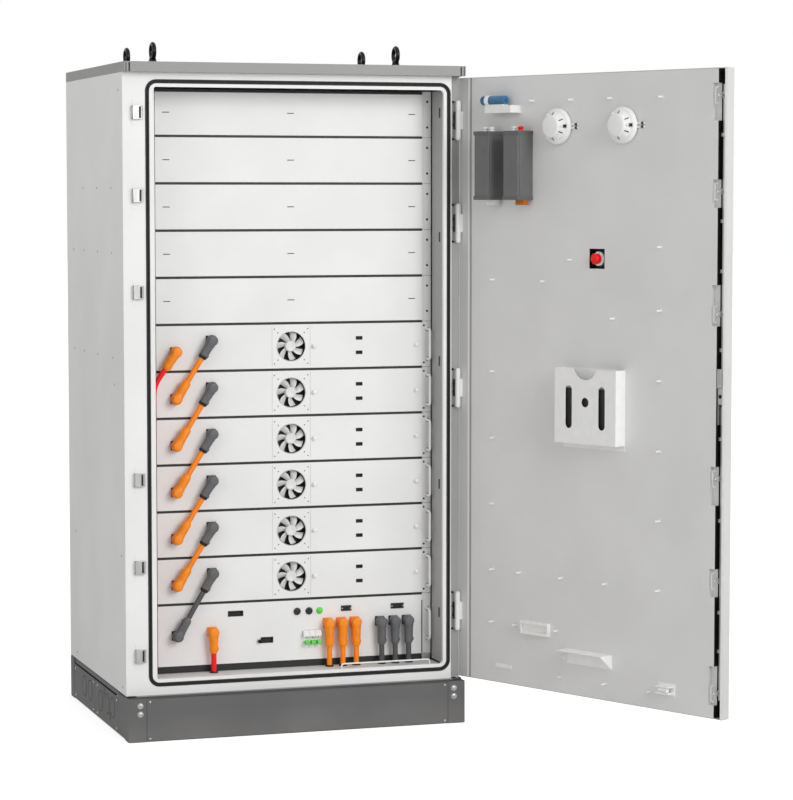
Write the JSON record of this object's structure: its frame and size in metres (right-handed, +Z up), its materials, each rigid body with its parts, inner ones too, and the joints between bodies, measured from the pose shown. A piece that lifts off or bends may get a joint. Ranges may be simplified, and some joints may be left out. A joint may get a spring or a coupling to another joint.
{
  "type": "battery cabinet",
  "caption": "Free-standing outdoor battery cabinet on a plinth, with a hinged front door, rack-mounted battery modules, a control unit and blank panels.",
  "frame": {"origin": "centre of the plinth's footprint, on the ground", "axes": "+X to the right seen from the front, +Y from the front to the back, +Z up"},
  "size_m": [1.562, 1.7238, 2.0699],
  "materials": {
    "plinth_grey": "satin powder coat",
    "zinc_steel": "zinc plated",
    "body_white": "fine textured powder coat",
    "inner_grey": "galvanised sheet, satin",
    "black_rubber": "matte",
    "roof_grey": "satin powder coat",
    "black_steel": "gloss black",
    "hinge_white": "satin",
    "module_white": "satin powder coat",
    "fan_grey": "moulded",
    "knob_white": "moulded",
    "black_plastic": "moulded",
    "lamp_green": "gloss",
    "toggle_green": "gloss",
    "connector_grey": "moulded",
    "connector_orange": "moulded",
    "cable_orange": "satin jacket",
    "cable_black": "satin jacket",
    "cable_red": "satin jacket",
    "liner_grey": "satin",
    "estop_red": "gloss",
    "unit_grey": "satin",
    "sensor_blue": "satin",
    "pocket_white": "satin"
  },
  "bodies": {
    "cabinet": {"plinth_frame": "plinth_grey", "plinth_panels": "plinth_grey", "plinth_bolts": "zinc_steel", "left_side_panel": "body_white", "right_side_panel": "body_white", "rear_panel": "body_white", "floor_pan": "inner_grey", "ceiling_panel": "inner_grey", "front_frame": "body_white", "door_gasket": "black_rubber", "roof_cap": "roof_grey", "lifting_eyes": "black_steel", "lock_keepers": "zinc_steel", "frame_hinges": "hinge_white", "rack_uprights": "inner_grey", "rack_runners": "zinc_steel", "blank_panels": "module_white", "fan_frames": "fan_grey", "module_knobs": "knob_white", "module_handles": "knob_white", "control_box": "module_white", "control_ports": "black_plastic", "status_lamp": "lamp_green", "breaker_housing": "knob_white", "dark_connectors": "connector_grey", "orange_connectors": "connector_orange", "orange_cables": "cable_orange", "dark_cables": "cable_black", "red_cables": "cable_red", "cable_glands": "black_plastic", "cable_bar": "zinc_steel", "battery_module_1": "module_white", "battery_module_2": "module_white", "battery_module_3": "module_white", "battery_module_4": "module_white", "battery_module_5": "module_white", "battery_module_6": "module_white"},
    "door": {"door_skin": "body_white", "door_liner": "liner_grey", "door_hinge_knuckles": "hinge_white", "lock_case": "zinc_steel", "estop_housing": "black_plastic", "smoke_detectors": "knob_white", "suppression_units": "unit_grey", "door_sensor": "sensor_blue", "document_pocket": "pocket_white", "door_brackets": "pocket_white"},
    "handle": {"door_handle": "black_steel"},
    "upper_rod": {"lock_rod_upper": "zinc_steel"},
    "lower_rod": {"lock_rod_lower": "zinc_steel"},
    "stop_button": {"estop_button": "estop_red"},
    "start_button": {"start_button": "black_plastic"},
    "reset_button": {"reset_button": "black_plastic"},
    "breaker_toggle": {"breaker_toggle": "toggle_green"},
    "fan_1": {"fan_rotor_1": "fan_grey"},
    "fan_2": {"fan_rotor_2": "fan_grey"},
    "fan_3": {"fan_rotor_3": "fan_grey"},
    "fan_4": {"fan_rotor_4": "fan_grey"},
    "fan_5": {"fan_rotor_5": "fan_grey"},
    "fan_6": {"fan_rotor_6": "fan_grey"}
  },
  "joints": [
    {"name": "door_swing", "type": "hinge", "parent": "cabinet", "child": "door", "pos_m": [0.516, -0.378, 1], "axis": [0, 0, 1], "range_deg": [-116, 0]},
    {"name": "handle_turn", "type": "hinge", "parent": "door", "child": "handle", "pos_m": [0.99738, -1.26917, 1.05], "axis": [0.8988, 0.4384, 0], "range_deg": [0, 90]},
    {"name": "upper_rod_slide", "type": "slide", "parent": "door", "child": "upper_rod", "axis": [0, 0, 1], "range_m": [0, 0.018]},
    {"name": "lower_rod_slide", "type": "slide", "parent": "door", "child": "lower_rod", "axis": [0, 0, -1], "range_m": [0, 0.018]},
    {"name": "stop_press", "type": "slide", "parent": "door", "child": "stop_button", "axis": [-0.8988, -0.4384, 0], "range_m": [0, 0.005]},
    {"name": "start_press", "type": "slide", "parent": "cabinet", "child": "start_button", "axis": [0, 1, 0], "range_m": [0, 0.004], "stiffness_N_per_m": 300},
    {"name": "reset_press", "type": "slide", "parent": "cabinet", "child": "reset_button", "axis": [0, 1, 0], "range_m": [0, 0.004], "stiffness_N_per_m": 300},
    {"name": "breaker_switch", "type": "hinge", "parent": "cabinet", "child": "breaker_toggle", "pos_m": [0.0775, -0.289, 0.2534], "axis": [1, 0, 0], "range_deg": [-30, 30]},
    {"name": "fan_1_spin", "type": "hinge", "parent": "cabinet", "child": "fan_1", "pos_m": [0.0155, -0.266, 1.15605], "axis": [0, 1, 0], "continuous": true},
    {"name": "fan_2_spin", "type": "hinge", "parent": "cabinet", "child": "fan_2", "pos_m": [0.0155, -0.266, 1.01575], "axis": [0, 1, 0], "continuous": true},
    {"name": "fan_3_spin", "type": "hinge", "parent": "cabinet", "child": "fan_3", "pos_m": [0.0155, -0.266, 0.87545], "axis": [0, 1, 0], "continuous": true},
    {"name": "fan_4_spin", "type": "hinge", "parent": "cabinet", "child": "fan_4", "pos_m": [0.0155, -0.266, 0.73515], "axis": [0, 1, 0], "continuous": true},
    {"name": "fan_5_spin", "type": "hinge", "parent": "cabinet", "child": "fan_5", "pos_m": [0.0155, -0.266, 0.59485], "axis": [0, 1, 0], "continuous": true},
    {"name": "fan_6_spin", "type": "hinge", "parent": "cabinet", "child": "fan_6", "pos_m": [0.0155, -0.266, 0.45455], "axis": [0, 1, 0], "continuous": true}
  ],
  "couplings": [
    {"joint": "upper_rod_slide", "follows": "handle_turn", "m_per_rad": 0.011448},
    {"joint": "lower_rod_slide", "follows": "handle_turn", "m_per_rad": 0.011448}
  ]
}
